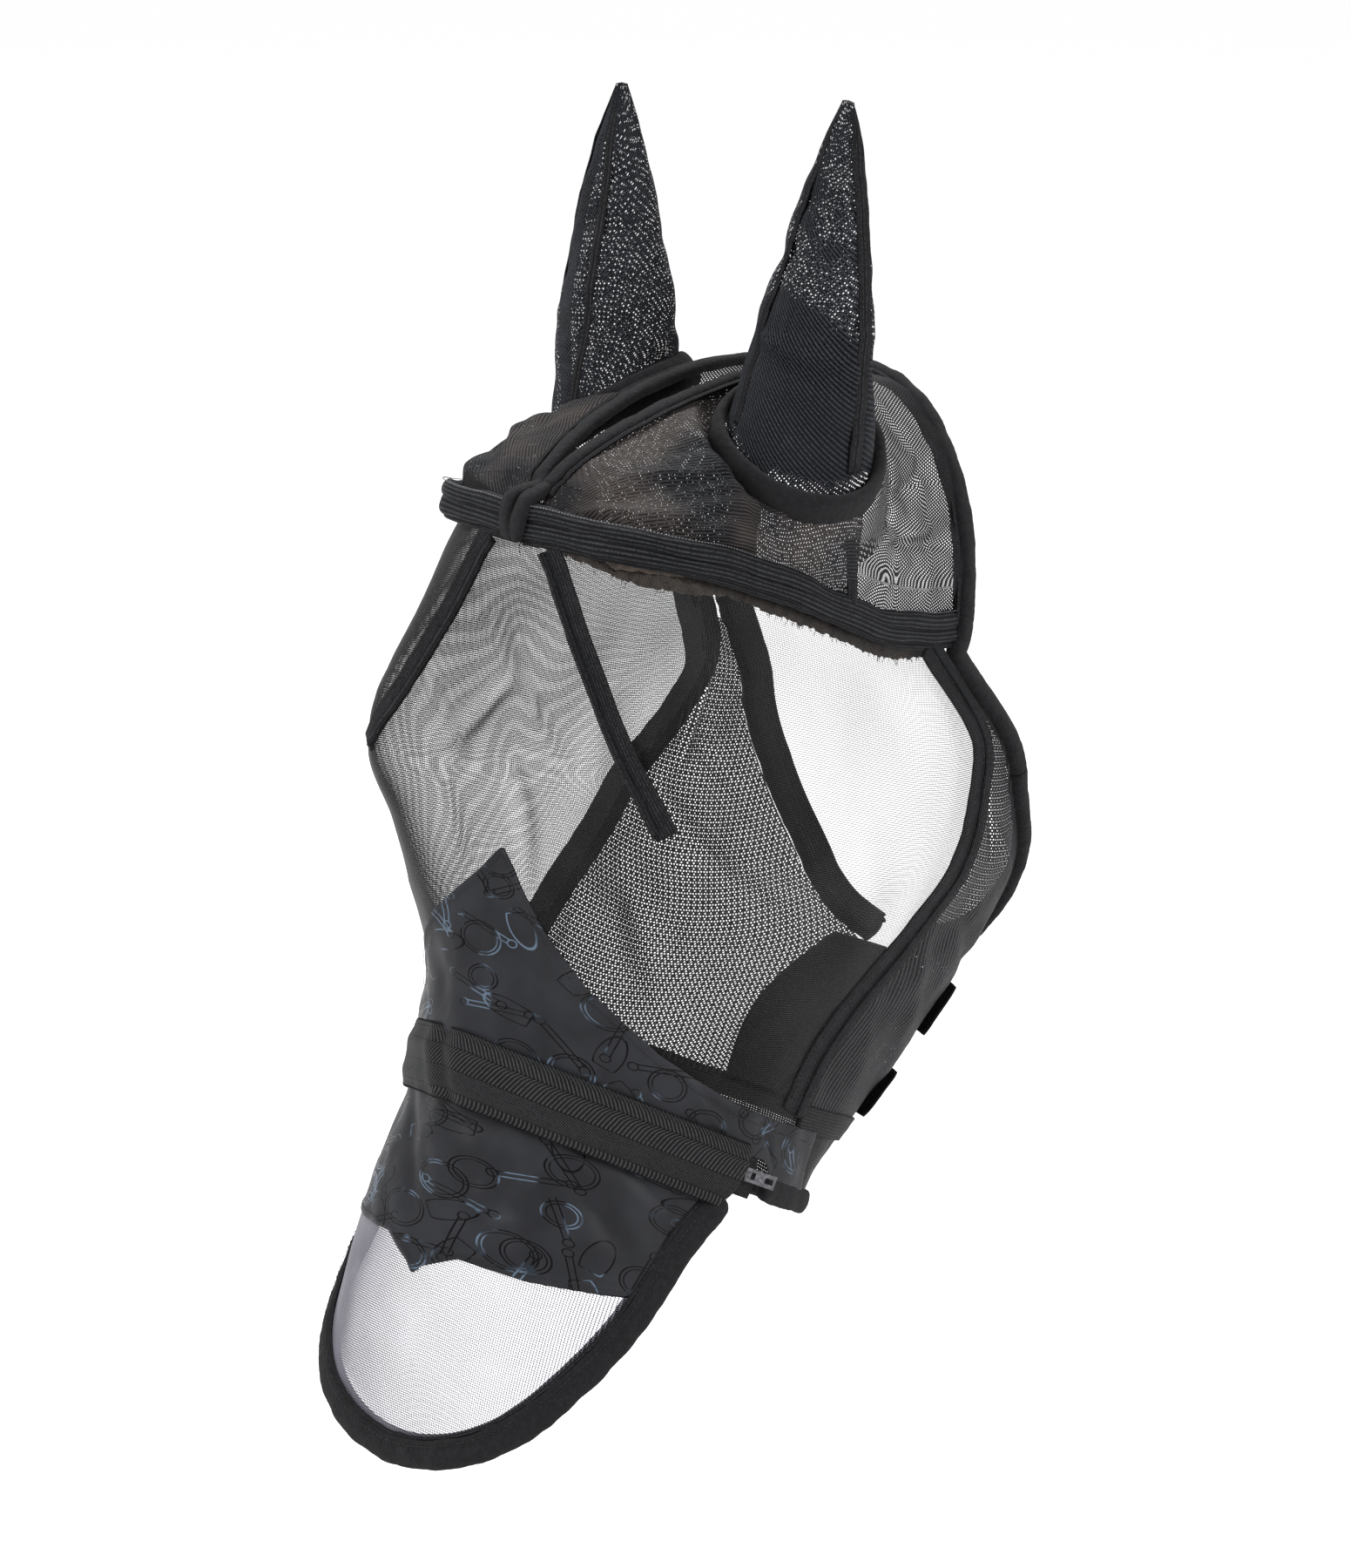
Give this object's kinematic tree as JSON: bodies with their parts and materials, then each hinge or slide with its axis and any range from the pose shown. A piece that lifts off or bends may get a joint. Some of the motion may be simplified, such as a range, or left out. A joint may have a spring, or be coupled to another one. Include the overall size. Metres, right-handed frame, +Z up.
{
  "type": "horse fly mask",
  "caption": "full-face horse fly mask: mesh face with eye darts, knit crown with ear pockets and forelock opening, fleece-bound edges, touch-tape throat straps and a zip-off nose piece",
  "frame": {"origin": "on the flat inner face of the poll binding, on the mask's centre line", "axes": "+Z up, the face looks towards -Y, +X towards the horse's left side"},
  "size_m": [0.268, 0.4611, 0.7348],
  "materials": {
    "fine_mesh": "fine black monofilament mesh, satin",
    "coarse_mesh": "black open knit mesh with small round holes",
    "ribbed_knit": "black ribbed stretch knit",
    "fleece": "matte black short-pile fleece",
    "binding_tape": "black ribbed binding tape, stitched",
    "softshell": null,
    "webbing": "black herringbone webbing",
    "zip_coil": "black nylon coil",
    "slider_metal": "dark satin metal",
    "touch_tape": "black hook and loop tape",
    "lining": "beige-brown frayed inner tape"
  },
  "bodies": {
    "mask_body": {"face_mesh": "fine_mesh", "dart_tape_left": "binding_tape", "dart_tape_right": "binding_tape", "cheek_tape_left": "binding_tape", "cheek_tape_right": "binding_tape", "brow_pad_left": "ribbed_knit", "brow_pad_right": "ribbed_knit", "brow_piping_left": "binding_tape", "brow_piping_right": "binding_tape", "brow_lining": "lining", "crown_front_left": "ribbed_knit", "crown_front_right": "ribbed_knit", "crown_rear_left": "coarse_mesh", "crown_rear_right": "coarse_mesh", "forelock_binding_left": "fleece", "forelock_binding_right": "fleece", "ear_ring_left": "fleece", "ear_ring_right": "fleece", "poll_binding": "fleece", "neck_binding_left": "fleece", "neck_binding_right": "fleece", "lower_trim": "softshell", "chin_gusset": "coarse_mesh", "chin_binding": "fleece", "zip_tape_upper": "webbing", "zip_coil_upper": "zip_coil", "zip_cover": "webbing", "zip_stop_left": "slider_metal", "zip_stop_right": "slider_metal"},
    "nose_piece": {"nose_trim": "softshell", "nose_mesh": "fine_mesh", "nose_binding": "fleece", "zip_tape_lower": "webbing", "zip_coil_lower": "zip_coil"},
    "zip_slider_body": {"zip_slider": "slider_metal"},
    "zip_pull_body": {"zip_pull": "slider_metal"},
    "ear_left_body": {"ear_back_left": "ribbed_knit", "ear_front_left": "ribbed_knit", "ear_seam_left": "binding_tape"},
    "ear_right_body": {"ear_back_right": "ribbed_knit", "ear_front_right": "ribbed_knit", "ear_seam_right": "binding_tape"},
    "jowl_left_body": {"jowl_panel_left": "coarse_mesh", "jowl_binding_left": "fleece", "loop_tape_upper": "touch_tape", "loop_tape_lower": "touch_tape"},
    "jowl_right_body": {"jowl_panel_right": "coarse_mesh", "jowl_binding_right": "fleece"},
    "strap_upper_body": {"strap_upper": "webbing", "hook_tape_upper": "touch_tape"},
    "strap_lower_body": {"strap_lower": "webbing", "hook_tape_lower": "touch_tape"}
  },
  "joints": [
    {"name": "ear_left_tilt", "type": "hinge", "parent": "mask_body", "child": "ear_left_body", "pos_m": [0.069, -0.1195, 0.0085], "axis": [1, 0, 0], "range_deg": [-3, 14]},
    {"name": "ear_right_tilt", "type": "hinge", "parent": "mask_body", "child": "ear_right_body", "pos_m": [-0.069, -0.1195, 0.0085], "axis": [1, 0, 0], "range_deg": [-3, 14]},
    {"name": "jowl_left_open", "type": "hinge", "parent": "mask_body", "child": "jowl_left_body", "pos_m": [0.1124, -0.0278, -0.1959], "axis": [0.0211, -0.7149, -0.6989], "range_deg": [0, 60]},
    {"name": "jowl_right_open", "type": "hinge", "parent": "mask_body", "child": "jowl_right_body", "pos_m": [-0.1124, -0.0278, -0.1959], "axis": [0.0211, 0.7149, 0.6989], "range_deg": [0, 60]},
    {"name": "strap_upper_peel", "type": "hinge", "parent": "jowl_right_body", "child": "strap_upper_body", "pos_m": [-0.03624, 0.01446, -0.38102], "axis": [0.0002, 0.795, 0.6066], "range_deg": [0, 90]},
    {"name": "strap_lower_peel", "type": "hinge", "parent": "jowl_right_body", "child": "strap_lower_body", "pos_m": [-0.03603, -0.04375, -0.41897], "axis": [-0.0067, 0.8866, 0.4625], "range_deg": [0, 90]},
    {"name": "zip_slide", "type": "slide", "parent": "mask_body", "child": "zip_slider_body", "axis": [0.3806, 0.7942, -0.4737], "range_m": [-0.03, 0]},
    {"name": "zip_pull_lift", "type": "hinge", "parent": "zip_slider_body", "child": "zip_pull_body", "pos_m": [0.12145, -0.23946, -0.38349], "axis": [-0.037, -0.4987, -0.866], "range_deg": [0, 90]},
    {"name": "nose_piece_off", "type": "slide", "parent": "mask_body", "child": "nose_piece", "axis": [0, -0.515, -0.8572], "range_m": [0, 0.12]}
  ],
  "couplings": [
    {"joint": "jowl_right_open", "follows": "jowl_left_open", "ratio": 1}
  ]
}
